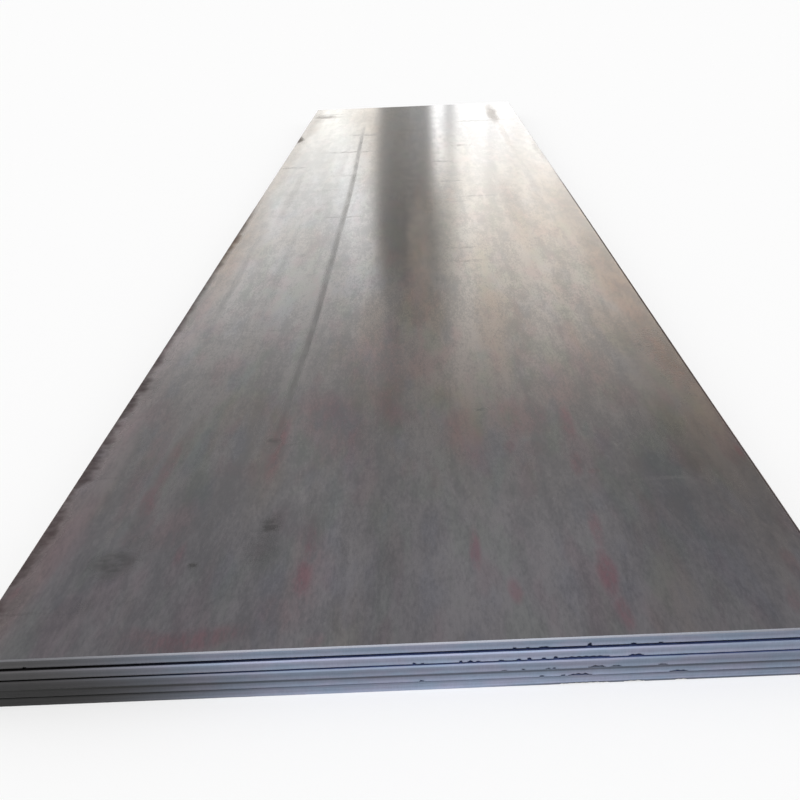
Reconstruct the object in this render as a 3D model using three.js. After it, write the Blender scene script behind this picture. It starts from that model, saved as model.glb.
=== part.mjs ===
// A close stack of hot-rolled steel plates, lying flat. Millimetres, +Z up, +Y along the plates, front end at -Y.
//
// Each plate is one solid. Its four sides are sheared, so each has a drawn-down upper arris, a smooth band and a
// torn band that leans out to the foot. Its faces keep their distance and follow the long shallow wave that
// rolling and cooling leave, and it rests on the plate below wherever the two waves meet. The bottom plate lies
// dead flat on the floor. The origin is at the middle of the stack's box, at floor level.
import * as THREE from "three";

// Plate, as rolled and sheared
const plateLength = 6000;
const plateWidth = 1500;
const plateThickness = 18;

// Sheared side, from the upper arris down to the foot
const rolloverRadius = 2;
const burnishHeight = 6;
const fractureLean = 0.6; // how far the torn band stands out at its foot
const footChamfer = 0.4;
const rolloverDivisions = 2; // an arc gets two facets for each division

// Stack
const seatClearance = 0.3; // left between two plates where their waves meet
const waveFacetLength = 200; // longest facet along a wave
const seatSampleSpacing = 20; // how closely two plates' waves are compared

// The plates, from the bottom up. setback is how far a plate lies behind the foremost one, and sideShift how far
// to the right. waveHeight is a wave's height from trough to crest, waveCrest where one crest lies along the
// plate, from its middle, and twist how much the left front corner stands above the right one.
const plates = [
  { name: "bottom_plate", setback: 4.5, sideShift: 1.5, waveHeight: 0, waveLength: 3000, waveCrest: 0, twist: 0 },
  { name: "fourth_plate", setback: 4, sideShift: -3, waveHeight: 2.6, waveLength: 2900, waveCrest: 800, twist: 0.8 },
  { name: "third_plate", setback: 0, sideShift: 2, waveHeight: 4, waveLength: 3400, waveCrest: -1000, twist: 1 },
  { name: "second_plate", setback: 1, sideShift: -1, waveHeight: 4.4, waveLength: 2800, waveCrest: 900, twist: 1 },
  { name: "top_plate", setback: 2.5, sideShift: 3, waveHeight: 2.2, waveLength: 2800, waveCrest: -400, twist: 1 },
];

const sheared = shearedSide();
const middleY = middleOf(plates.map((plate) => plate.setback));
const middleX = middleOf(plates.map((plate) => plate.sideShift));

// The outline of a sheared side from its foot up to the top face: how far it stands out from the plate's nominal
// edge, against its height above the bottom face.
function shearedSide() {
  const side = new THREE.Path();
  const arcFoot = plateThickness - rolloverRadius;
  side.moveTo(fractureLean - footChamfer, 0);
  side.lineTo(fractureLean, footChamfer);
  side.lineTo(0, arcFoot - burnishHeight);
  side.lineTo(0, arcFoot);
  side.absarc(-rolloverRadius, arcFoot, rolloverRadius, 0, Math.PI / 2, false);
  return side.getPoints(rolloverDivisions);
}

function middleOf(values) {
  return (Math.min(...values) + Math.max(...values)) / 2;
}

// How far a plate's faces stand above their lowest level at a point in the plate's own frame.
function waveAt(plate, x, y) {
  const swell = (1 + Math.cos((2 * Math.PI * (y - plate.waveCrest)) / plate.waveLength)) / 2;
  const corner = (2 * x * y) / (plateWidth * plateLength);
  return plate.waveHeight * swell + plate.twist * corner;
}

// A segmented box whose levels are spread to the sheared side's outline and whose rows follow the wave.
function plateGeometry(plate) {
  const levels = sheared.length - 1;
  const rows = plate.waveHeight > 0 ? Math.ceil(plateLength / waveFacetLength) : 1;
  const geometry = new THREE.BoxGeometry(1, 1, 1, 1, rows, levels);
  const position = geometry.getAttribute("position");
  for (let i = 0; i < position.count; i++) {
    const { x: outset, y: height } = sheared[Math.round((position.getZ(i) + 0.5) * levels)];
    const x = 2 * position.getX(i) * (plateWidth / 2 + outset);
    const y = 2 * position.getY(i) * (plateLength / 2 + outset);
    position.setXYZ(i, x, y, height + waveAt(plate, x, y));
  }
  geometry.computeVertexNormals();
  return geometry;
}

// How far the upper plate's lowest level lies above the lower plate's, so that the two just clear each other.
// Both waves run straight across from side to side, so comparing them along the two sides is enough.
function seatHeight(lower, upper) {
  let rise = -Infinity;
  for (let y = -plateLength / 2; y <= plateLength / 2; y += seatSampleSpacing) {
    for (const x of [-plateWidth / 2, plateWidth / 2]) {
      const below = waveAt(lower, x - lower.sideShift, y - lower.setback);
      const above = waveAt(upper, x - upper.sideShift, y - upper.setback);
      rise = Math.max(rise, below - above);
    }
  }
  return plateThickness + rise + seatClearance;
}

function plateMesh(plate, level) {
  const millScale = new THREE.MeshStandardMaterial({ color: 0x6b6a69, roughness: 0.42, metalness: 0.75 });
  const mesh = new THREE.Mesh(plateGeometry(plate), millScale);
  mesh.name = plate.name;
  mesh.position.set(plate.sideShift - middleX, plate.setback - middleY, level);
  return mesh;
}

const stack = new THREE.Group();
let level = 0;
plates.forEach((plate, i) => {
  if (i > 0) level += seatHeight(plates[i - 1], plate);
  stack.add(plateMesh(plate, level));
});

export default stack;
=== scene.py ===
"""The looks of a close stack of hot-rolled steel plates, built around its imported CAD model. In metres."""

import math

import bpy
import numpy as np
from mathutils import Matrix, Vector
from mathutils.geometry import delaunay_2d_cdt


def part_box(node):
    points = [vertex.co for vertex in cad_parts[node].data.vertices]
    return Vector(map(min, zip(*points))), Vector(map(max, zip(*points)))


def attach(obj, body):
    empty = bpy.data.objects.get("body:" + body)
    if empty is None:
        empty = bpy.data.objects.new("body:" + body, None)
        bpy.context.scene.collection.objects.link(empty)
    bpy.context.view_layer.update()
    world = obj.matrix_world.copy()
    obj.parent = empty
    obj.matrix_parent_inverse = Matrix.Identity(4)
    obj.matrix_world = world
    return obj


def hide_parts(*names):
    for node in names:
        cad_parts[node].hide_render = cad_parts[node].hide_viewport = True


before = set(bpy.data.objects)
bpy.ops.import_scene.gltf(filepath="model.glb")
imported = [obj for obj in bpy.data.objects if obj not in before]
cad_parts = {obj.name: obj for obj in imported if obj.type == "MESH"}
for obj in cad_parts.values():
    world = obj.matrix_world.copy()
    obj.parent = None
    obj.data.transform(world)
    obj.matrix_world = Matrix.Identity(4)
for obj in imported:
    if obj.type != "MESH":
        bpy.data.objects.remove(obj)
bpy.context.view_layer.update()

BODY = "root"
PLATES = ["bottom_plate", "fourth_plate", "third_plate", "second_plate", "top_plate"]
MM = 0.001

# The plates' sheared sides, as the CAD model has them
THICKNESS = 18 * MM
LEAN = 0.6 * MM  # how far the foot stands out from the plate's nominal edge
ROLLOVER = 2 * MM
BURNISH = 6 * MM
FOOT_CHAMFER = 0.4 * MM
CORNER_RADIUS = 5 * MM
SHOULDER = 4 * MM  # a flat strip along the edge of each face, outside which nothing is curved
ROW_GAP = 10 * MM  # points of the CAD model that are further apart along a plate are in different rows

# How finely the sides are divided along the front end, the back end and the long sides
FRONT_PITCH = 2 * MM
BACK_PITCH = 4 * MM
SIDE_PITCH = 9 * MM
CORNER_STEPS = 4
FACE_PITCH = 0.15  # spacing of the points inside a face

# How many levels a side has above its foot, in its torn band, its smooth band and its rolled arris
TORN_LEVELS = 7
SMOOTH_LEVELS = 2
ROLLED_LEVELS = 5

# How far a sheared side strays from a true line, over long and short runs, and how rough its torn part is
LONG_RUN, LONG_STRAY = 0.21, 0.3 * MM
SHORT_RUN, SHORT_STRAY = 0.013, 0.12 * MM
TORN_STRAY = 0.15 * MM

# A chip's depth, how steep its two ends are, and how unevenly its roof goes up and down
CHIP_DEPTH = 3.4 * MM
CHIP_STEEPNESS = 2.2
CHIP_RAGGEDNESS = 0.25
CHIP_RAG_LENGTH = 1.9 * MM
# The levels of a chip's hollow, up to its roof: their share of the height, and their share of the depth
CHIP_LEVELS = [(0, 1), (0.75, 0.9), (1, 0.35)]
CHIP_LIP = 0.3 * MM  # from a chip's roof to the lowest level of the torn band that is left above it

# Chips out of each plate's front foot, in millimetres: how far right of the middle, how wide and how high
CHIPS = {
    "top_plate": [(-646, 6, 2), (170, 6, 2.5), (192, 6, 1.5), (219, 16, 1.5), (295, 8, 5), (368, 7, 3),
                  (413, 5, 2)],
    "second_plate": [(6, 6, 3), (20, 5, 1.5), (84, 6, 3), (100, 7, 4), (113, 6, 2), (152, 8, 2),
                     (181, 6, 2.5), (199, 8, 3.5), (223, 7, 3.5), (243, 8, 4), (290, 88, 2.5), (378, 26, 3)],
    "third_plate": [(154, 8, 1.5), (186, 6, 2.5), (228, 7, 3.5), (238, 6, 3), (310, 30, 4), (342, 16, 3),
                    (421, 14, 2.5)],
    "fourth_plate": [(19, 8, 2.5), (223, 7, 3.5), (259, 8, 3), (288, 40, 4), (455, 30, 3)],
    "bottom_plate": [(292, 86, 2), (377, 36, 2.5), (457, 20, 2)],
}
LOOSE_CHIPS = 40  # further small ones along the long sides and the back end of each plate

# Painted shade on the front end, where a plate lies close under the overhang of the next: how far down it
# reaches, and how it fades
OVERHANG_SHADE = {"fourth_plate": 6 * MM, "bottom_plate": 4.5 * MM}
OVERHANG_SHADE_FADE = 2 * MM
# How pale each plate's cut came out
PALENESS = {
    "top_plate": 0.93, "second_plate": 1.07, "third_plate": 0.88, "fourth_plate": 1.04, "bottom_plate": 1.28,
}

# The order of the materials on each plate
COVERED, SHEARED, OPEN = range(3)


# ---------------------------------------------------------------- plates

def underside(node):
    """A CAD plate's underside along its left and its right side: each row's y, and how high it is there."""
    points = np.array([v.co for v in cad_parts[node].data.vertices])
    middle = (points[:, 0].min() + points[:, 0].max()) / 2
    sides = []
    for half in (points[points[:, 0] < middle], points[points[:, 0] > middle]):
        half = half[np.argsort(half[:, 1])]
        row_starts = np.flatnonzero(np.diff(half[:, 1]) > ROW_GAP) + 1
        rows = np.split(half, row_starts)
        sides.append(([row[:, 1].mean() for row in rows], [row[:, 2].min() for row in rows]))
    return sides


class Plate:
    """Where a CAD plate lies: its middle, its half sizes to the nominal edge and its underside's height."""

    def __init__(self, node):
        low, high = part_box(node)
        self.middle = (low + high) / 2
        self.half = (high - low) / 2 - Vector((LEAN, LEAN, 0))
        self.sides = underside(node)

    def height(self, x, y):
        left, right = (np.interp(y, *side) for side in self.sides)
        share = (x - self.middle.x + self.half.x) / (2 * self.half.x)
        return left + (right - left) * share

    def front_middle(self):
        """The middle of the upper face's front edge."""
        x, y = self.middle.x, self.middle.y - self.half.y
        return Vector((x, y, self.height(x, y) + THICKNESS))


def side_outline():
    """A sheared side from the foot up: heights, and how far each stands out from the nominal edge."""
    arc_foot = THICKNESS - ROLLOVER
    torn_top = arc_foot - BURNISH
    foot = [(0, LEAN - FOOT_CHAMFER)]
    torn = [(z, LEAN * (1 - z / torn_top)) for z in np.linspace(FOOT_CHAMFER, torn_top, TORN_LEVELS)]
    smooth = [(z, 0) for z in np.linspace(torn_top, arc_foot, SMOOTH_LEVELS + 1)[1:]]
    turns = np.linspace(0, math.pi / 2, ROLLED_LEVELS + 1)[1:]
    rolled = [(arc_foot + ROLLOVER * math.sin(t), ROLLOVER * (math.cos(t) - 1)) for t in turns]
    return np.array(foot + torn + smooth + rolled)


def rim(half):
    """The nominal edge, anticlockwise from the front left corner: points and outward directions."""
    points, outward = [], []
    pitches = [FRONT_PITCH, SIDE_PITCH, BACK_PITCH, SIDE_PITCH]
    straights = [half.x, half.y, half.x, half.y]
    for quarter, (pitch, straight) in enumerate(zip(pitches, straights)):
        way_out = Vector((0, -1)) @ Matrix.Rotation(-quarter * math.pi / 2, 2)
        along = Vector((-way_out.y, way_out.x))
        out = half.y if quarter % 2 == 0 else half.x
        reach = straight - CORNER_RADIUS
        for t in np.linspace(-reach, reach, math.ceil(2 * reach / pitch) + 1):
            points.append(way_out * out + along * t)
            outward.append(way_out)
        centre = way_out * (out - CORNER_RADIUS) + along * reach
        for step in range(1, CORNER_STEPS):
            turn = step / CORNER_STEPS * math.pi / 2
            direction = way_out * math.cos(turn) + along * math.sin(turn)
            points.append(centre + direction * CORNER_RADIUS)
            outward.append(direction)
    return np.array(points), np.array(outward)


def stray(random, along, run, size):
    """An uneven line around the rim that turns about every `run`, up to `size` to either side."""
    knots = np.arange(0, along[-1] + run, run)
    return np.interp(along, knots, random.uniform(-size, size, len(knots)))


def chip_heights(node, points, along, half, random):
    """How high the foot is chipped at each point of the rim."""
    start = half.x - CORNER_RADIUS  # the rim starts this far left of the middle
    chips = [(start + x * MM, width * MM, height * MM) for x, width, height in CHIPS[node]]
    past_front = 2 * half.x
    for _ in range(LOOSE_CHIPS):
        middle = random.uniform(past_front, along[-1])
        width = random.uniform(10, 40) * MM
        chips.append((middle, width, random.uniform(1, 3) * MM))
    heights = np.zeros(len(points))
    for middle, width, height in chips:
        distance = np.abs(along - middle) / (width / 2)
        phase = middle * 900  # differs from chip to chip
        ragged = 1 + CHIP_RAGGEDNESS * np.sin(along / CHIP_RAG_LENGTH + phase)
        heights = np.maximum(heights, height * np.clip(CHIP_STEEPNESS * (1 - distance), 0, 1) * ragged)
    return heights


def side_shape(node, points, half):
    """Heights and outsets of the side's levels at every point of the rim, and how much each is chipped."""
    random = np.random.default_rng(PLATES.index(node) + 1)
    steps = np.linalg.norm(np.diff(points, axis=0), axis=1)
    along = np.concatenate([[0], np.cumsum(steps)])
    heights, outsets = (np.repeat(line[:, None], len(points), axis=1) for line in side_outline().T)

    torn_top = THICKNESS - ROLLOVER - BURNISH
    torn = np.flatnonzero((heights[:, 0] > FOOT_CHAMFER) & (heights[:, 0] < torn_top))
    outsets += stray(random, along, LONG_RUN, LONG_STRAY) + stray(random, along, SHORT_RUN, SHORT_STRAY)
    outsets[torn] += random.uniform(-TORN_STRAY, TORN_STRAY, (len(torn), len(points)))
    outsets = np.minimum(outsets, LEAN)

    chip = chip_heights(node, points, along, half, random)
    share = np.clip(chip / MM, 0, 1)  # a chip has its full depth where it is 1 mm high
    roof = np.maximum(chip, FOOT_CHAMFER)
    for level, (rise, depth) in enumerate(CHIP_LEVELS):
        heights[level] += (roof * rise - heights[level]) * share
        outsets[level] += (-depth * CHIP_DEPTH - outsets[level]) * share
    left_over = heights[len(CHIP_LEVELS):TORN_LEVELS]
    lowest = left_over[0, 0]
    above = (left_over - lowest) / (torn_top - lowest)
    lifted = roof + CHIP_LIP + above * (torn_top - roof - CHIP_LIP)
    left_over += (lifted - left_over) * share
    chipped = np.zeros_like(heights)
    chipped[:len(CHIP_LEVELS)] = share
    return heights, outsets, chipped


def painted_overhang_shade(node, heights, outward):
    """How much painted shade from the overhanging plate above falls on each point of the side."""
    if node not in OVERHANG_SHADE:
        return np.zeros_like(heights)
    foot = THICKNESS - OVERHANG_SHADE[node] - OVERHANG_SHADE_FADE / 2
    share = np.clip((heights - foot) / OVERHANG_SHADE_FADE, 0, 1)
    on_front_end = outward[:, 1] < -0.7
    return share * on_front_end


def fill(loop, half):
    """Triangles over a face: its outer loop's points, then further points on a coarse grid inside it."""
    columns = np.arange(-half.x + FACE_PITCH, half.x - FACE_PITCH / 2, FACE_PITCH)
    rows = np.arange(-half.y + FACE_PITCH, half.y - FACE_PITCH / 2, FACE_PITCH)
    inner = [(x, y) for y in rows for x in columns]
    points = [Vector(p) for p in list(loop) + inner]
    edges = [(i, (i + 1) % len(loop)) for i in range(len(loop))]
    found = delaunay_2d_cdt(points, edges, [], 1, 1e-7)
    return np.array(inner), [tuple(face) for face in found[2]]


def plate_faces(count, levels, inner_count, triangles, upper):
    """Faces and their materials. A plate's points are the loops of its levels, each of `count` points, then
    the ones inside its lower face and the ones inside its upper face."""
    faces, materials = [], []
    for level in range(levels - 1):
        lower, higher = level * count, (level + 1) * count
        for i in range(count):
            j = (i + 1) % count
            faces.append((lower + i, lower + j, higher + j, higher + i))
        material = {0: COVERED, levels - 2: upper}.get(level, SHEARED)
        materials += [material] * count

    inner = levels * count
    below = [*range(count), *range(inner, inner + inner_count)]
    above = [*range(inner - count, inner), *range(inner + inner_count, inner + 2 * inner_count)]
    for a, b, c in triangles:
        faces.append((below[a], below[c], below[b]))
        faces.append((above[a], above[b], above[c]))
        materials += [COVERED, upper]
    return faces, materials


def plate_mesh(node):
    plate = Plate(node)
    points, outward = rim(plate.half)
    side_heights, side_outsets, chipped = side_shape(node, points, plate.half)
    overhang_shade = painted_overhang_shade(node, side_heights, outward)
    count = len(points)
    shoulder = np.full((1, count), -SHOULDER)
    heights = np.concatenate([np.zeros((1, count)), side_heights, np.full((1, count), THICKNESS)])
    outsets = np.concatenate([shoulder, side_outsets, shoulder])

    loops = points[None] + outward[None] * outsets[:, :, None]
    inner, triangles = fill(loops[0], plate.half)
    xy = np.concatenate([loops.reshape(-1, 2), inner, inner]) + np.array(plate.middle.xy)
    rise = np.concatenate([heights.ravel(), np.zeros(len(inner)), np.full(len(inner), THICKNESS)])
    z = plate.height(xy[:, 0], xy[:, 1]) + rise
    upper = OPEN if node == "top_plate" else COVERED
    faces, materials = plate_faces(count, len(heights), len(inner), triangles, upper)

    mesh = bpy.data.meshes.new(node)
    mesh.from_pydata(np.column_stack([xy, z]), [], faces)
    mesh.polygons.foreach_set("material_index", materials)
    mesh.polygons.foreach_set("use_smooth", [True] * len(faces))
    before, after = np.zeros(count), np.zeros(count + 2 * len(inner))
    marks = {
        "side_height": rise / THICKNESS,
        "chipped": np.concatenate([before, chipped.ravel(), after]),
        "overhang_shade": np.concatenate([before, overhang_shade.ravel(), after]),
        "paleness": np.full(len(rise), PALENESS[node]),
    }
    for name, values in marks.items():
        mesh.attributes.new(name, "FLOAT", "POINT").data.foreach_set("value", values)
    return mesh


def add_plate(node, materials):
    piece = bpy.data.objects.new(node + "_rolled", plate_mesh(node))
    bpy.context.scene.collection.objects.link(piece)
    for material in materials:
        piece.data.materials.append(material)
    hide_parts(node)
    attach(piece, BODY)


# ---------------------------------------------------------------- shader helpers

class Nodes:
    """Short ways to add shader nodes. A value is a socket or a plain number or colour.

    A Mix node's inputs share their names, so they go by number: 2 and 3 are its numbers, 6 and 7 its colours.
    """

    def __init__(self, tree):
        self.tree = tree

    def add(self, kind, values=(), **settings):
        node = self.tree.nodes.new("ShaderNode" + kind)
        for name, value in settings.items():
            setattr(node, name, value)
        for key, value in dict(values).items():
            self.feed(node.inputs[key], value)
        return node

    def feed(self, socket, value):
        if isinstance(value, bpy.types.NodeSocket):
            self.tree.links.new(value, socket)
        else:
            socket.default_value = value

    def math(self, operation, *values):
        return self.add("Math", enumerate(values), operation=operation).outputs[0]

    def product(self, first, *others):
        for other in others:
            first = self.math("MULTIPLY", first, other)
        return first

    def largest(self, values):
        first = values[0]
        for other in values[1:]:
            first = self.math("MAXIMUM", first, other)
        return first

    def lerp(self, share, first, second):
        return self.add("Mix", {"Factor": share, 2: first, 3: second}).outputs[0]

    def vector(self, operation, *values):
        return self.add("VectorMath", enumerate(values), operation=operation).outputs[0]

    def scaled(self, place, x, y, z):
        return self.vector("MULTIPLY", place, (x, y, z))

    def parts(self, place):
        return self.add("SeparateXYZ", {"Vector": place}).outputs

    def ease(self, value, start, end):
        """0 before the start, 1 after the end. The end may lie below the start."""
        values = {"Value": value, "From Min": start, "From Max": end}
        return self.add("MapRange", values, interpolation_type="SMOOTHSTEP").outputs[0]

    def band(self, value, start, end, soft):
        """1 between the start and the end, fading out over `soft` beyond each."""
        middle, half = (start + end) / 2, (end - start) / 2
        distance = self.math("ABSOLUTE", self.math("SUBTRACT", value, middle))
        return self.ease(distance, half + soft, half - soft)

    def noise(self, place, detail=2.0, roughness=0.5):
        values = {"Vector": place, "Scale": 1.0, "Detail": detail, "Roughness": roughness}
        return self.add("TexNoise", values).outputs["Fac"]

    def mix(self, share, first, second, blend="MIX"):
        node = self.add("Mix", data_type="RGBA", blend_type=blend)
        self.feed(node.inputs["Factor"], share)
        self.feed(node.inputs[6], first)
        self.feed(node.inputs[7], second)
        return node.outputs[2]

    def tint(self, colour, share, tint):
        return self.mix(share, colour, tint, "MULTIPLY")

    def patch(self, place, centre, reach, strength=1.0):
        """A soft oval on the xy plane: the strength in its middle, 0 outside it."""
        scale = Vector((1 / reach[0], 1 / reach[1], 0))
        away = self.vector("MULTIPLY_ADD", place, scale, -scale * Vector((*centre, 0)))
        distance = self.add("VectorMath", {0: away}, operation="LENGTH").outputs["Value"]
        values = {"Value": distance, "From Min": 1.0, "From Max": 0.3, "To Max": strength}
        return self.add("MapRange", values, interpolation_type="SMOOTHSTEP").outputs[0]

    def patches(self, place, spots):
        return self.largest([self.patch(place, *spot) for spot in spots])


def srgb(red, green, blue):
    """A colour written in 0 to 255 display values, as the linear one that shaders take."""
    shares = (red / 255, green / 255, blue / 255)
    return (*(c / 12.92 if c <= 0.04045 else ((c + 0.055) / 1.055) ** 2.4 for c in shares), 1.0)


def new_material(name):
    material = bpy.data.materials.new(name)
    material.use_nodes = True
    return material, Nodes(material.node_tree), material.node_tree.nodes["Principled BSDF"]


# ---------------------------------------------------------------- mill scale

SCALE_DARK = srgb(87, 85, 87)
SCALE_PALE = srgb(113, 110, 111)
# Painted light on the faces between the plates: painted shade at the left end, and painted bluish skylight in
# the gaps
GAP_SHADE_DARK = srgb(18, 17, 19)
GAP_SKYLIGHT_BLUE = srgb(128, 148, 208)
GAP_SKYLIGHT_NAVY = srgb(100, 117, 172)  # on the plate under the top one
RUST = srgb(92, 64, 50)
EDGE_RUST = srgb(44, 31, 31)
SCALE_RELIEF = 0.14 * MM
# The scale's thickness tints it. A tint multiplies the colour.
RED_TINT = (1, 0.85, 0.89, 1)
GREEN_TINT = (0.89, 1, 0.91, 1)
BLUE_TINT = (0.87, 0.92, 1, 1)
TAN_TINT = (1, 0.92, 0.82, 1)
# Further tints of the open face
WARM_TINT = (1, 0.935, 0.88, 1)
FRONT_TINT = (0.995, 1, 1.045, 1)
BLOOM_TINT = (1, 0.83, 0.85, 1)
PINK_TINT = (1, 0.66, 0.72, 1)
STAIN_TINT = (1, 0.83, 0.68, 1)
MARGIN_TINT = (1, 0.82, 0.66, 1)
NEAR_MARGIN_TINT = (1, 0.86, 0.88, 1)
DARK_TINT = (0.16, 0.15, 0.16, 1)

# Marks on the open face, in metres to the right of its middle and back from its front edge.
# Lines across it: how far back, from where to where across, half width, strength
CROSS_LINES = [
    (5.72, -0.74, -0.55, 0.05, 0.6), (4.80, -0.42, -0.23, 0.05, 0.45), (4.24, -0.54, -0.22, 0.035, 0.6),
    (3.84, -0.73, -0.62, 0.035, 0.6), (3.59, -0.42, -0.30, 0.030, 0.4), (3.26, -0.45, -0.37, 0.025, 0.35),
    (2.73, -0.42, -0.24, 0.020, 0.4), (5.18, 0.28, 0.70, 0.05, 0.5), (4.31, 0.23, 0.32, 0.045, 0.4),
    (3.86, 0.11, 0.20, 0.035, 0.35), (3.36, 0.17, 0.23, 0.030, 0.4), (3.02, 0.17, 0.51, 0.022, 0.3),
    (2.93, 0.17, 0.23, 0.020, 0.4), (2.42, -0.72, -0.65, 0.016, 0.4), (2.20, 0.13, 0.23, 0.018, 0.45),
    (2.03, 0.12, 0.25, 0.016, 0.4), (1.41, -0.55, -0.34, 0.010, 0.4), (1.21, -0.75, -0.61, 0.007, 0.6),
    (1.01, -0.75, -0.64, 0.010, 0.5), (0.56, -0.75, -0.56, 0.006, 0.4), (0.475, 0.28, 0.68, 0.012, 0.5),
    (0.45, 0.05, 0.75, 0.05, 0.24), (0.11, -0.74, -0.64, 0.006, 0.5), (0.69, -0.38, -0.25, 0.007, 0.7),
]
# The other marks are soft ovals: where their middle is, how far they reach across and back, strength.
# Dark smudges
SMUDGES = [
    ((-0.563, 0.237), (0.07, 0.06), 0.75), ((-0.530, 0.30), (0.05, 0.06), 0.4),
    ((-0.60, 0.12), (0.05, 0.05), 0.35), ((-0.283, 0.361), (0.03, 0.05), 0.8),
    ((-0.332, 0.705), (0.035, 0.045), 0.7), ((0.175, 0.812), (0.04, 0.012), 0.6),
    ((-0.73, 4.72), (0.03, 0.07), 0.5), ((-0.30, 0.28), (0.05, 0.12), 0.4),
    ((-0.72, 1.02), (0.04, 0.14), 0.4), ((-0.413, 0.227), (0.014, 0.014), 0.8),
    ((-0.545, 0.324), (0.012, 0.010), 0.6), ((-0.43, 2.84), (0.02, 0.09), 0.2),
    ((-0.43, 2.17), (0.02, 0.05), 0.2), ((0.66, 1.19), (0.014, 0.025), 0.5),
    ((0.47, 0.643), (0.018, 0.012), 0.4), ((0.30, 0.50), (0.012, 0.008), 0.4),
    ((0.67, 1.08), (0.17, 0.42), 0.28),
]
# Dark streaks
STREAKS = [
    ((-0.568, 0.72), (0.020, 0.55), 0.30), ((-0.643, 1.92), (0.020, 0.70), 0.25),
    ((-0.495, 1.90), (0.024, 0.95), 0.15), ((-0.600, 3.20), (0.030, 0.80), 0.18),
    ((-0.215, 0.62), (0.018, 0.42), 0.15), ((-0.400, 3.75), (0.028, 1.0), 0.12),
    ((0.440, 3.10), (0.025, 1.0), 0.10), ((0.600, 3.40), (0.028, 0.9), 0.12),
    ((-0.130, 0.27), (0.014, 0.32), 0.12),
]
# Rusty stains
STAINS = [
    ((0.575, 5.45), (0.06, 0.60), 1.0), ((0.59, 4.60), (0.03, 0.9), 0.5),
    ((-0.38, 5.50), (0.12, 0.45), 0.3), ((-0.62, 5.60), (0.12, 0.07), 0.8),
    ((-0.74, 4.71), (0.03, 0.14), 0.9), ((-0.69, 5.30), (0.07, 0.7), 0.5),
    ((-0.68, 2.30), (0.08, 0.9), 0.6), ((-0.735, 2.40), (0.03, 0.16), 0.9),
    ((0.72, 1.12), (0.04, 0.17), 0.7), ((0.69, 1.80), (0.09, 0.7), 0.6), ((0.02, 2.3), (0.06, 1.1), 0.6),
    ((0.25, 1.40), (0.07, 0.5), 0.6), ((-0.13, 1.45), (0.07, 0.35), 0.6), ((0.46, 2.9), (0.06, 0.8), 0.6),
    ((0.60, 1.35), (0.08, 0.3), 0.6),
]
# Where the stains have turned to rust
RUSTY_SPOTS = [
    ((0.57, 5.86), (0.12, 0.24), 0.09), ((0.575, 5.45), (0.05, 0.55), 0.09),
    ((-0.66, 5.62), (0.11, 0.08), 0.16), ((-0.745, 4.71), (0.03, 0.14), 0.35),
    ((0.735, 4.05), (0.03, 0.40), 0.12), ((-0.745, 2.40), (0.02, 0.10), 0.30),
]
# Reddish bloom
BLOOMS = [
    ((-0.20, 0.22), (0.05, 0.2), 0.8), ((-0.24, 0.09), (0.06, 0.07), 0.7),
    ((-0.485, 0.36), (0.05, 0.12), 0.7), ((-0.40, 0.035), (0.16, 0.05), 1.0),
    ((0.70, 1.05), (0.05, 0.25), 1.0), ((-0.605, 0.62), (0.035, 0.35), 0.8),
    ((-0.32, 0.72), (0.05, 0.25), 1.0), ((-0.05, 1.00), (0.05, 0.35), 0.9),
    ((0.13, 0.68), (0.08, 0.16), 0.9), ((-0.17, 0.72), (0.09, 0.20), 0.9),
    ((0.38, 0.95), (0.07, 0.25), 0.8), ((0.50, 1.05), (0.06, 0.2), 0.8), ((0.02, 1.75), (0.05, 0.35), 0.8),
    ((0.281, 0.617), (0.04, 0.05), 0.8), ((0.402, 0.516), (0.02, 0.02), 0.8),
    ((0.66, 0.08), (0.02, 0.05), 0.8), ((0.685, 0.17), (0.02, 0.06), 0.8),
    ((-0.557, 0.37), (0.03, 0.12), 0.8), ((-0.10, 1.20), (0.14, 0.26), 1.0),
    ((-0.21, 0.82), (0.11, 0.18), 1.0), ((0.27, 0.78), (0.12, 0.13), 1.0),
]
# Narrow pink streaks
PINK_STREAKS = [
    ((0.372, 0.74), (0.026, 0.14), 0.7), ((0.364, 0.55), (0.020, 0.07), 0.8),
    ((0.361, 0.31), (0.018, 0.11), 0.7), ((0.357, 0.17), (0.026, 0.09), 1.0),
    ((0.367, 0.055), (0.020, 0.06), 0.9), ((0.122, 0.245), (0.016, 0.09), 0.9),
    ((0.183, 0.13), (0.018, 0.045), 0.7), ((-0.198, 0.30), (0.014, 0.10), 0.8),
    ((-0.202, 0.19), (0.024, 0.07), 0.8), ((-0.165, 0.02), (0.025, 0.03), 0.6),
    ((-0.557, 0.61), (0.022, 0.17), 0.7), ((-0.561, 0.47), (0.026, 0.09), 0.8),
    ((-0.45, 0.27), (0.014, 0.06), 0.6), ((-0.36, 0.035), (0.12, 0.05), 0.45),
    ((-0.728, 0.172), (0.018, 0.03), 0.8), ((-0.320, 0.68), (0.026, 0.24), 0.7),
    ((0.733, 0.567), (0.012, 0.05), 0.8), ((0.224, 0.635), (0.018, 0.05), 0.7),
]
# How far across the dark line lies that a worn roller drew along the face. It bends a little at both ends.
ROLLER_LINE = -0.310


def rolled_grain(nodes, place, spread):
    """How pale the scale is, drawn out along the rolling, and how mottled."""
    clouds = nodes.noise(nodes.scaled(place, 3.4, 1.3, 10), 3)
    bands = nodes.noise(nodes.scaled(place, 14, 0.6, 30), 3)
    mottle = nodes.noise(nodes.scaled(place, 24, 7, 20), 5, 0.8)
    flecks = nodes.noise(nodes.scaled(place, 190, 60, 60), 3, 0.7)
    drawn = nodes.noise(nodes.scaled(place, 60, 5, 60), 3, 0.7)
    tone = nodes.product(clouds, 0.17)
    for part, share in ((bands, 0.18), (mottle, 0.35), (flecks, 0.23), (drawn, 0.07)):
        tone = nodes.math("MULTIPLY_ADD", part, share, tone)
    pale = nodes.ease(tone, nodes.math("SUBTRACT", 0.5, spread), nodes.math("ADD", 0.5, spread))
    return pale, mottle


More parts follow.
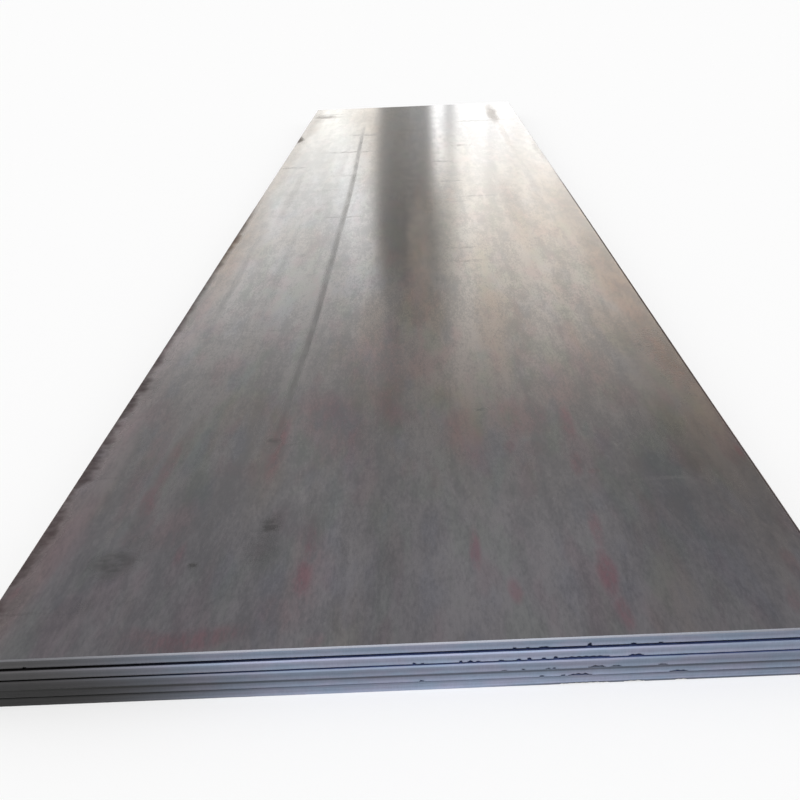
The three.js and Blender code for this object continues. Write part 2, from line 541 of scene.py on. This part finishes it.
def heat_tints(nodes, place, colour, strength):
    """Faint red, green, blue and tan patches that the scale's thickness gives it."""
    fields = nodes.add("TexNoise", {"Vector": nodes.scaled(place, 14, 4.0, 20), "Scale": 1.0, "Detail": 3.0})
    red, green, blue = nodes.parts(fields.outputs["Color"])
    tan = nodes.noise(nodes.scaled(place, 7, 1.5, 17), 3)
    for field, tint in ((red, RED_TINT), (green, GREEN_TINT), (blue, BLUE_TINT), (tan, TAN_TINT)):
        colour = nodes.tint(colour, nodes.product(nodes.ease(field, 0.50, 0.66), strength), tint)
    return colour


def cross_lines(nodes, place, breaks):
    wobble = nodes.math("MULTIPLY_ADD", nodes.noise(nodes.scaled(place, 8, 0, 0), 2), 0.04, -0.02)
    wobbled = nodes.vector("ADD", place, nodes.add("CombineXYZ", {1: wobble}).outputs[0])
    lines = []
    for distance, start, end, half, strength in CROSS_LINES:
        lines.append((((start + end) / 2, distance), ((end - start) / 2 + 0.06, half), strength))
    return nodes.product(nodes.patches(wobbled, lines), nodes.math("MULTIPLY_ADD", breaks, 0.55, 0.08))


def roller_line(nodes, place):
    """It fades out softly on its left and sharply on its right."""
    across, back, _ = nodes.parts(place)
    middle = nodes.math("MULTIPLY_ADD", nodes.ease(back, 3.0, 5.2), -0.028, ROLLER_LINE)
    middle = nodes.math("MULTIPLY_ADD", nodes.ease(back, 1.6, 0.5), -0.018, middle)
    distance = nodes.math("SUBTRACT", across, middle)
    line = nodes.product(nodes.ease(distance, -0.025, -0.002), nodes.ease(distance, 0.015, 0.005))
    fades = nodes.product(nodes.ease(back, 5.5, 4.4), nodes.ease(back, 0.45, 0.85))
    worn = nodes.ease(nodes.noise(nodes.scaled(place, 30, 5, 0), 2), 0.3, 0.6)
    strength = nodes.lerp(nodes.ease(back, 2.6, 1.3), 0.42, 0.72)
    return nodes.product(line, fades, strength, nodes.lerp(worn, 0.75, 1.0))


def dark_marks(nodes, place, swayed, slightly_swayed, breaks):
    smudges = nodes.patches(swayed, SMUDGES)
    smudges = nodes.product(smudges, nodes.math("MULTIPLY_ADD", breaks, 0.5, 0.7))
    specks = nodes.ease(nodes.noise(nodes.scaled(place, 60, 22, 0), 3, 0.7), 0.70, 0.80)
    lines = nodes.math("MAXIMUM", cross_lines(nodes, place, breaks), roller_line(nodes, place))
    streaks = nodes.patches(slightly_swayed, STREAKS)
    return nodes.largest([lines, streaks, smudges, nodes.product(specks, 0.4)])


def face_rust(nodes, place, swayed, breaks, half_width):
    """A ragged band along the left edge, a thin line along the right one and a few spots."""
    across, back, _ = nodes.parts(place)
    ragged = nodes.noise(nodes.scaled(place, 9, 12, 0), 4, 0.65)
    ragged = nodes.math("MULTIPLY_ADD", ragged, 0.11, -0.044)
    ragged = nodes.product(ragged, nodes.lerp(nodes.ease(back, 1.4, 0.8), 0.3, 1.0))
    from_left = nodes.math("ADD", across, half_width)
    left_edge = nodes.ease(nodes.math("SUBTRACT", from_left, ragged), 0.030, -0.014)
    broken = nodes.math("MULTIPLY_ADD", breaks, 0.20, 0.56)
    left_edge = nodes.product(left_edge, nodes.ease(back, 3.4, 2.4), broken)
    from_right = nodes.math("SUBTRACT", half_width, across)
    right_edge = nodes.product(nodes.ease(from_right, 0.008, 0.004), nodes.ease(back, 3.9, 2.4), 0.8)
    spots = nodes.patches(swayed, RUSTY_SPOTS)
    spots = nodes.product(spots, nodes.math("MULTIPLY_ADD", breaks, 0.5, 0.5))
    return nodes.largest([left_edge, right_edge, spots])


def face_margins(nodes, place, half_width):
    """The oxidised strips along the left and the right edge, the right one only over part of its length."""
    across, back, _ = nodes.parts(place)
    sway = nodes.math("MULTIPLY_ADD", nodes.noise(nodes.scaled(place, 14, 3, 0), 3), 0.08, -0.04)
    swayed_across = nodes.math("ADD", across, sway)
    left = nodes.ease(swayed_across, 0.10 - half_width, 0.03 - half_width)
    right = nodes.ease(swayed_across, half_width - 0.16, half_width - 0.03)
    right = nodes.product(right, nodes.ease(back, 3.8, 2.6), nodes.ease(back, 0.3, 1.0))
    return left, right


def open_face_finish(nodes, place, half_width, mottle, colour, roughness, metallic):
    """Marks, heat tints and rust on the face that lies open to the air."""
    across, back, _ = nodes.parts(place)
    sway = nodes.add("TexNoise", {"Vector": place, "Scale": 7.0}).outputs["Color"]
    sway = nodes.vector("SUBTRACT", sway, (0.5, 0.5, 0.5))
    swayed = nodes.vector("MULTIPLY_ADD", sway, (0.05, 0.12, 0), place)
    slightly_swayed = nodes.vector("MULTIPLY_ADD", sway, (0.018, 0.06, 0), place)
    breaks = nodes.ease(nodes.noise(nodes.scaled(place, 30, 60, 0), 3), 0.35, 0.6)
    uneven = nodes.math("MULTIPLY_ADD", nodes.ease(mottle, 0.38, 0.60), 0.7, 0.3)

    dark = dark_marks(nodes, place, swayed, slightly_swayed, breaks)
    rust = face_rust(nodes, place, swayed, breaks, half_width)
    left_margin, right_margin = face_margins(nodes, place, half_width)
    margins = nodes.math("MAXIMUM", left_margin, right_margin)
    stains = nodes.patches(swayed, STAINS)
    blooms = nodes.product(nodes.patches(swayed, BLOOMS), uneven)
    pinks = nodes.product(nodes.patches(slightly_swayed, PINK_STREAKS), uneven)
    warm = nodes.lerp(nodes.ease(across, -0.35, 0.05), 0.4, 1.0)
    warm = nodes.product(warm, nodes.ease(back, 0.55, 1.05))
    left_tint = nodes.mix(nodes.ease(back, 2.4, 1.4), MARGIN_TINT, NEAR_MARGIN_TINT)

    colour = heat_tints(nodes, place, colour, nodes.lerp(nodes.ease(back, 0.4, 0.8), 0.5, 0.75))
    colour = nodes.tint(colour, warm, WARM_TINT)
    colour = nodes.tint(colour, nodes.ease(back, 0.60, 0.15), FRONT_TINT)
    colour = nodes.tint(colour, blooms, BLOOM_TINT)
    colour = nodes.tint(colour, pinks, PINK_TINT)
    colour = nodes.tint(colour, stains, STAIN_TINT)
    colour = nodes.tint(colour, left_margin, left_tint)
    colour = nodes.tint(colour, right_margin, MARGIN_TINT)
    colour = nodes.tint(colour, dark, DARK_TINT)
    colour = nodes.mix(nodes.product(rust, 0.9), colour, EDGE_RUST)

    roughness = nodes.lerp(nodes.largest([dark, nodes.product(stains, 0.3)]), roughness, 0.5)
    roughness = nodes.lerp(nodes.product(margins, 0.3), roughness, 0.4)
    roughness = nodes.lerp(rust, roughness, 1.0)
    dull = nodes.largest([rust, dark, nodes.product(stains, 0.6), nodes.product(margins, 0.45)])
    metallic = nodes.lerp(dull, metallic, 0.1)
    return colour, roughness, metallic


def mill_scale(name, front, open_face=None):
    """Hot-rolled scale. Between the plates it takes painted light, bluish skylight and painted shade, and the
    open face has marks and rust too.
    """
    material, nodes, shader = new_material(name)
    place = nodes.add("TexCoord").outputs["Object"]
    across, back, up = nodes.parts(place)
    spread = nodes.lerp(nodes.ease(back, front + 0.5, front + 1.8), 0.095, 0.045)
    pale, mottle = rolled_grain(nodes, place, spread)
    colour = nodes.mix(pale, SCALE_DARK, SCALE_PALE)
    metallic = nodes.lerp(pale, 0.5, 0.7)
    roughness = nodes.lerp(pale, 0.135, 0.115)
    relief = nodes.noise(nodes.scaled(place, 2.5, 8, 20), 5)

    if open_face is None:
        # painted light in the gaps between the plates
        painted_gap_light = nodes.mix(nodes.ease(up, 0.060, 0.070), GAP_SKYLIGHT_BLUE, GAP_SKYLIGHT_NAVY)
        painted_gap_light = nodes.mix(nodes.ease(across, -0.55, 0.0), GAP_SHADE_DARK, painted_gap_light)
        colour = nodes.mix(0.85, colour, painted_gap_light)
    else:
        corner = open_face.front_middle()
        place = nodes.vector("SUBTRACT", place, (corner.x, corner.y, 0))
        finish = open_face_finish(nodes, place, open_face.half.x, mottle, colour, roughness, metallic)
        colour, roughness, metallic = finish

    bump = nodes.add("Bump", {"Height": relief, "Strength": 1.0, "Distance": SCALE_RELIEF})
    nodes.feed(shader.inputs["Base Color"], colour)
    nodes.feed(shader.inputs["Metallic"], metallic)
    nodes.feed(shader.inputs["Roughness"], roughness)
    nodes.feed(shader.inputs["Normal"], bump.outputs[0])
    return material


# ---------------------------------------------------------------- sheared sides

# The cut's blue cast is partly the steel's own hue and partly a painted reflection of bluish daylight
LAVENDER = srgb(146, 150, 172)
STEEL_BLUE = srgb(136, 150, 172)
WORN_ARRIS = srgb(161, 161, 167)
# The grey that the cut turns towards its left end: painted shade, with some dirt
SHADE_AND_DIRT_GREY = srgb(112, 110, 112)
OXIDE = srgb(80, 72, 68)
CUT_RELIEF = 0.3 * MM
# The share of the light that the painted shade under an overhang takes, on clean steel and on the darker left
# end
OVERHANG_SHADE_ON_CLEAN, OVERHANG_SHADE_ON_DARK_LEFT = 0.62, 0.93


def cut_tone_and_painted_light(nodes, height, painted_arris_highlight, scoring, patches):
    """How pale the clean cut is from its foot, at height 0, to its arris, at 1: painted light, a highlight on
    the arris and a sheen low on the torn band.
    """
    light = nodes.math("MULTIPLY_ADD", nodes.ease(height, 0.5, 0.1), 0.34, 0.60)
    light = nodes.math("MULTIPLY_ADD", nodes.ease(height, 0.5, 0.72), 0.12, light)
    light = nodes.math("MULTIPLY_ADD", nodes.ease(height, 0.78, 0.88), painted_arris_highlight, light)
    light = nodes.math("MULTIPLY_ADD", scoring, 0.25, light)
    return nodes.math("MULTIPLY_ADD", patches, 0.25, light)


def cut_losses(nodes, across, up, height, chipped, overhang_shade, low, left_shade_and_dirt):
    """The shares of the light that painted shade and dirt take, in chips, under overhangs, at the feet and to
    the left, and that fade to the left and right.
    """
    # painted shade, with some dirt, at the left end, deeper on the lower plates
    left_shade_and_dirt_loss = nodes.product(left_shade_and_dirt, nodes.math("MULTIPLY_ADD", low, 0.30, 0.62))
    left_fade = nodes.math("MULTIPLY_ADD", nodes.ease(up, 0.085, 0.06), 0.10, 0.05)
    left_fade = nodes.product(left_fade, nodes.ease(across, 0.12, -0.15))
    right_fade = nodes.product(nodes.ease(across, 0.2, 0.65), nodes.math("MULTIPLY_ADD", low, 0.10, 0.12))
    # painted shade in the hollow of each chip
    chip_shade = nodes.product(chipped, 0.8)
    # painted shade under the overhang of the plate above
    overhang_shade_loss = nodes.product(overhang_shade, nodes.lerp(left_shade_and_dirt, OVERHANG_SHADE_ON_CLEAN, OVERHANG_SHADE_ON_DARK_LEFT))
    # a painted contact shadow along the bottom plate's foot, towards the right
    painted_contact_shadow = nodes.product(nodes.ease(up, 0.0050, 0.0027), nodes.ease(across, 0.04, 0.26), 0.68)
    # painted shade at each plate's foot, along the gap below it, towards the left
    foot = nodes.product(nodes.ease(height, 0.15, 0.04), left_shade_and_dirt, 0.75)
    # painted shade on the lower plates at the far left end
    corner = nodes.product(low, nodes.ease(across, -0.58, -0.70), 0.35)
    return left_shade_and_dirt_loss, left_fade, right_fade, chip_shade, overhang_shade_loss, painted_contact_shadow, foot, corner


def sheared_steel(front, top):
    """Bare cut steel on the front end, with a painted arris highlight, painted shade and some dirt, and oxide
    on the other sides.
    """
    material, nodes, shader = new_material("sheared_steel")
    place = nodes.add("TexCoord").outputs["Object"]
    height, chipped, overhang_shade, paleness = (
        nodes.add("Attribute", attribute_name=name).outputs["Fac"]
        for name in ("side_height", "chipped", "overhang_shade", "paleness"))
    across, back, up = nodes.parts(place)
    hue = nodes.ease(nodes.noise(nodes.scaled(place, 12, 12, 45), 3), 0.35, 0.65)
    scoring = nodes.noise(nodes.scaled(place, 380, 380, 60), 3, 0.6)
    patches = nodes.noise(nodes.scaled(place, 26, 26, 90), 3)

    low = nodes.ease(up, 0.09, 0.02)
    # Darker towards the left end, more so on the lower plates: painted shade, with some dirt
    left_shade_and_dirt = nodes.ease(nodes.math("MULTIPLY_ADD", low, -0.06, across), -0.20, -0.69)
    # the painted arris highlight, fainter towards the right
    painted_arris_highlight = nodes.math("MULTIPLY_ADD", nodes.ease(across, 0.15, 0.65), -0.5, 0.62)
    light = nodes.product(cut_tone_and_painted_light(nodes, height, painted_arris_highlight, scoring, patches), paleness)
    for loss in cut_losses(nodes, across, up, height, chipped, overhang_shade, low, left_shade_and_dirt):
        light = nodes.product(light, nodes.math("SUBTRACT", 1.0, loss))

    colour = nodes.mix(left_shade_and_dirt, nodes.mix(hue, LAVENDER, STEEL_BLUE), SHADE_AND_DIRT_GREY)
    worn = nodes.product(nodes.ease(height, 0.78, 0.88), nodes.ease(up, top - 0.010, top - 0.006), 0.7)
    colour = nodes.mix(worn, colour, WORN_ARRIS)
    grey = nodes.add("CombineXYZ", {0: light, 1: light, 2: light}).outputs[0]
    colour = nodes.mix(1.0, colour, grey, "MULTIPLY")

    other_sides = nodes.ease(back, front + 0.02, front + 0.05)
    rusty = nodes.ease(nodes.noise(nodes.scaled(place, 20, 7, 60), 4, 0.65), 0.45, 0.65)
    oxide = nodes.mix(rusty, OXIDE, RUST)
    colour = nodes.mix(other_sides, colour, oxide)
    relief = nodes.math("ADD", scoring, patches)
    bump = nodes.add("Bump", {"Height": relief, "Strength": 0.3, "Distance": CUT_RELIEF})
    nodes.feed(shader.inputs["Base Color"], colour)
    nodes.feed(shader.inputs["Metallic"], nodes.lerp(other_sides, 0.25, 0.1))
    nodes.feed(shader.inputs["Roughness"], nodes.lerp(other_sides, 0.4, 0.6))
    nodes.feed(shader.inputs["Normal"], bump.outputs[0])
    return material


# ---------------------------------------------------------------- floor, light and camera

BACKGROUND = srgb(250, 250, 250)
FLOOR = srgb(252, 252, 252)
FLOOR_SIZE = 400
BOUNCE = 0.4  # how pale the floor is for light that it throws back at the plates' sides
SKY = 0.35  # the world's share of a plain level of light on the floor, of which the lamp gives the rest
LAMP_HEIGHT = math.radians(60)
LAMP_SPREAD = math.radians(35)

# How bright the walls, the windows and the posts between them are, on the left and on the right
WALL_LEFT, WALL_RIGHT = 0.70, 0.72
WINDOW_LEFT, WINDOW_RIGHT = 1.30, 1.71  # above the wall
POST_LOW, POST_HIGH = 0.50, 0.335  # near the floor, and higher up

# The camera: its lens and sideways shift, its angles in degrees, and where it stands from the middle of the
# open face's front edge
SENSOR_WIDTH = 36
LENS = 38.62
SHIFT_X = -0.0367
HEADING, TILT, ROLL = -0.159, 26.986, -2.426
STAND = Vector((0.0490, -1.0813, 1.0019))


def add_floor():
    bpy.ops.mesh.primitive_plane_add(size=FLOOR_SIZE)
    floor = bpy.context.object
    floor.name = "floor"
    material, nodes, shader = new_material("floor_paint")
    indirect = nodes.add("LightPath").outputs["Is Diffuse Ray"]
    nodes.feed(shader.inputs["Base Color"], nodes.mix(indirect, FLOOR, (BOUNCE, BOUNCE, BOUNCE, 1)))
    shader.inputs["Roughness"].default_value = 1.0
    shader.inputs["Specular IOR Level"].default_value = 0.0
    floor.data.materials.append(material)


def add_lamp():
    """One large soft lamp in front of the stack and above it."""
    lamp = bpy.data.objects.new("lamp", bpy.data.lights.new("lamp", "SUN"))
    lamp.data.energy = (1 - SKY) * math.pi / math.sin(LAMP_HEIGHT)
    lamp.data.angle = LAMP_SPREAD
    lamp.visible_glossy = False
    lamp.rotation_euler = (math.pi / 2 - LAMP_HEIGHT, 0, 0)
    bpy.context.scene.collection.objects.link(lamp)


def wall_and_windows(nodes, azimuth, elevation, right, low):
    """Pale walls, large windows low down and straight ahead, and a darker wall far to the right."""
    ahead = nodes.band(azimuth, -50, 50, 12)
    wall_right = nodes.math("MULTIPLY_ADD", nodes.ease(elevation, 29, 36), 0.14, WALL_RIGHT)
    wall = nodes.lerp(right, WALL_LEFT, wall_right)
    pale_wall = nodes.product(nodes.band(azimuth, -13, -7, 5), nodes.ease(elevation, 24, 31), 0.26)
    window = nodes.product(low, nodes.lerp(right, WINDOW_LEFT, WINDOW_RIGHT), ahead)
    bright = nodes.math("ADD", nodes.math("ADD", wall, pale_wall), window)
    far_right = nodes.product(nodes.ease(elevation, 16, 23), nodes.ease(elevation, 50, 33))
    far_right = nodes.product(far_right, nodes.ease(azimuth, 9, 20))
    return nodes.product(bright, nodes.math("MULTIPLY_ADD", far_right, -0.31, 1.0))


def window_posts(nodes, azimuth, elevation):
    """A broad post, softer higher up, a slim one that a blurred one carries on, and a faint one."""
    post_left = nodes.math("MULTIPLY_ADD", nodes.math("MINIMUM", elevation, 15.0), 0.087, azimuth)
    post_left = nodes.ease(post_left, -2.5, -1.6)
    high = nodes.ease(elevation, 11, 13.5)
    post_right = nodes.lerp(high, nodes.ease(azimuth, 0.95, 0.55), nodes.ease(azimuth, 3.5, -0.3))
    post = nodes.product(post_left, post_right, nodes.ease(elevation, 31, 16.5))
    slim_post = nodes.product(nodes.band(azimuth, 1.5, 2.2, 0.25), nodes.ease(elevation, 13.5, 9), 0.75)
    blurred_height = nodes.band(elevation, 12.3, 15.5, 1.8)
    blurred_post = nodes.product(nodes.band(azimuth, 0.6, 2.2, 0.7), blurred_height, 0.62)
    far_post = nodes.product(nodes.band(azimuth, 4.3, 4.7, 0.2), nodes.ease(elevation, 19, 12), 0.3)
    return nodes.largest([post, slim_post, blurred_post, far_post])


def window_tint(nodes, azimuth, elevation, right, panes):
    """The light is warm on the right, but not low down there, and differs from pane to pane."""
    cool = nodes.ease(elevation, 17, 13.5)
    left_tint = nodes.mix(cool, (0.985, 0.987, 0.975, 1), (0.97, 0.989, 0.990, 1))
    tint = nodes.mix(nodes.ease(azimuth, -4, 1), left_tint, (1, 0.955, 0.88, 1))
    low_tint = nodes.mix(right, (1, 0.989, 0.945, 1), (0.97, 0.985, 1, 1))
    tint = nodes.mix(nodes.ease(elevation, 12.5, 9.8), tint, low_tint)
    blind = nodes.product(nodes.band(azimuth, -3.8, -2.6, 0.7), nodes.ease(elevation, 20, 9))
    tint = nodes.tint(tint, blind, (0.94, 0.90, 0.865, 1))
    grey_pane = nodes.product(nodes.band(azimuth, 1.0, 3.2, 1.0), nodes.band(elevation, 14, 20, 4))
    tint = nodes.tint(tint, grey_pane, (0.95, 1, 1.01, 1))
    return nodes.tint(tint, panes, (1, 0.985, 0.96, 1))


def add_world():
    """A plain studio. Polished metal sees large windows beyond the far end, with posts between them.

    Azimuth is in degrees to the right of the plates' direction, and elevation in degrees above the floor.
    """
    world = bpy.data.worlds.new("studio")
    bpy.context.scene.world = world
    world.use_nodes = True
    nodes = Nodes(world.node_tree)
    background = world.node_tree.nodes["Background"]
    x, y, z = nodes.parts(nodes.add("TexCoord").outputs["Generated"])
    azimuth = nodes.math("MULTIPLY", nodes.math("ARCTAN2", x, y), 180 / math.pi)
    elevation = nodes.math("MULTIPLY", nodes.math("ARCSINE", z), 180 / math.pi)

    right = nodes.ease(azimuth, -4, 2)
    low = nodes.ease(elevation, nodes.lerp(right, 28, 31), nodes.lerp(right, 13, 14))
    bright = wall_and_windows(nodes, azimuth, elevation, right, low)
    posts = window_posts(nodes, azimuth, elevation)
    shade = nodes.lerp(nodes.ease(elevation, 9, 16), POST_LOW, POST_HIGH)
    pane_x, pane_y = nodes.product(azimuth, 0.55), nodes.product(elevation, 0.05)
    pane_place = nodes.add("CombineXYZ", {0: pane_x, 1: pane_y}).outputs[0]
    panes = nodes.ease(nodes.noise(pane_place, 3), 0.35, 0.65)
    swing = nodes.lerp(low, 0.06, 0.13)
    streaked = nodes.lerp(panes, nodes.math("ADD", 1.0, swing), nodes.math("SUBTRACT", 1.0, swing))
    reflected = nodes.product(nodes.lerp(posts, bright, shade), streaked)

    path = nodes.add("LightPath")
    strength = nodes.lerp(path.outputs["Is Glossy Ray"], SKY, reflected)
    strength = nodes.lerp(path.outputs["Is Camera Ray"], strength, BACKGROUND[0])
    tint = window_tint(nodes, azimuth, elevation, right, panes)
    warmth = nodes.product(path.outputs["Is Glossy Ray"], nodes.ease(elevation, 37, 16))
    nodes.feed(background.inputs["Color"], nodes.mix(warmth, (1, 1, 1, 1), tint))
    nodes.feed(background.inputs["Strength"], strength)


def add_camera():
    """The camera stands before the front end, a little right of the middle, and looks down along it."""
    camera = bpy.data.objects.new("camera", bpy.data.cameras.new("camera"))
    camera.data.sensor_width = SENSOR_WIDTH
    camera.data.lens = LENS
    camera.data.shift_x = SHIFT_X
    heading, tilt, roll = (math.radians(angle) for angle in (HEADING, TILT, ROLL))
    level = Vector((math.sin(heading), math.cos(heading), 0))
    forward = level * math.cos(tilt) - Vector((0, 0, math.sin(tilt)))
    right = Vector((math.cos(heading), -math.sin(heading), 0))
    up = right.cross(forward)
    right, up = right * math.cos(roll) + up * math.sin(roll), up * math.cos(roll) - right * math.sin(roll)
    stand = Plate("top_plate").front_middle() + STAND
    camera.matrix_world = Matrix.Translation(stand) @ Matrix((right, up, -forward)).transposed().to_4x4()
    bpy.context.scene.collection.objects.link(camera)
    bpy.context.scene.camera = camera


top_plate = Plate("top_plate")
front_edge = top_plate.front_middle()
finishes = [  # in the order of COVERED, SHEARED and OPEN
    # the covered faces' scale, with painted light in the gaps
    mill_scale("mill_scale", front_edge.y),
    sheared_steel(front_edge.y, front_edge.z),
    mill_scale("open_mill_scale", front_edge.y, top_plate),
]
for node in PLATES:
    add_plate(node, finishes)
add_floor()
add_lamp()
add_world()
add_camera()
bpy.context.scene.view_settings.view_transform = "Standard"
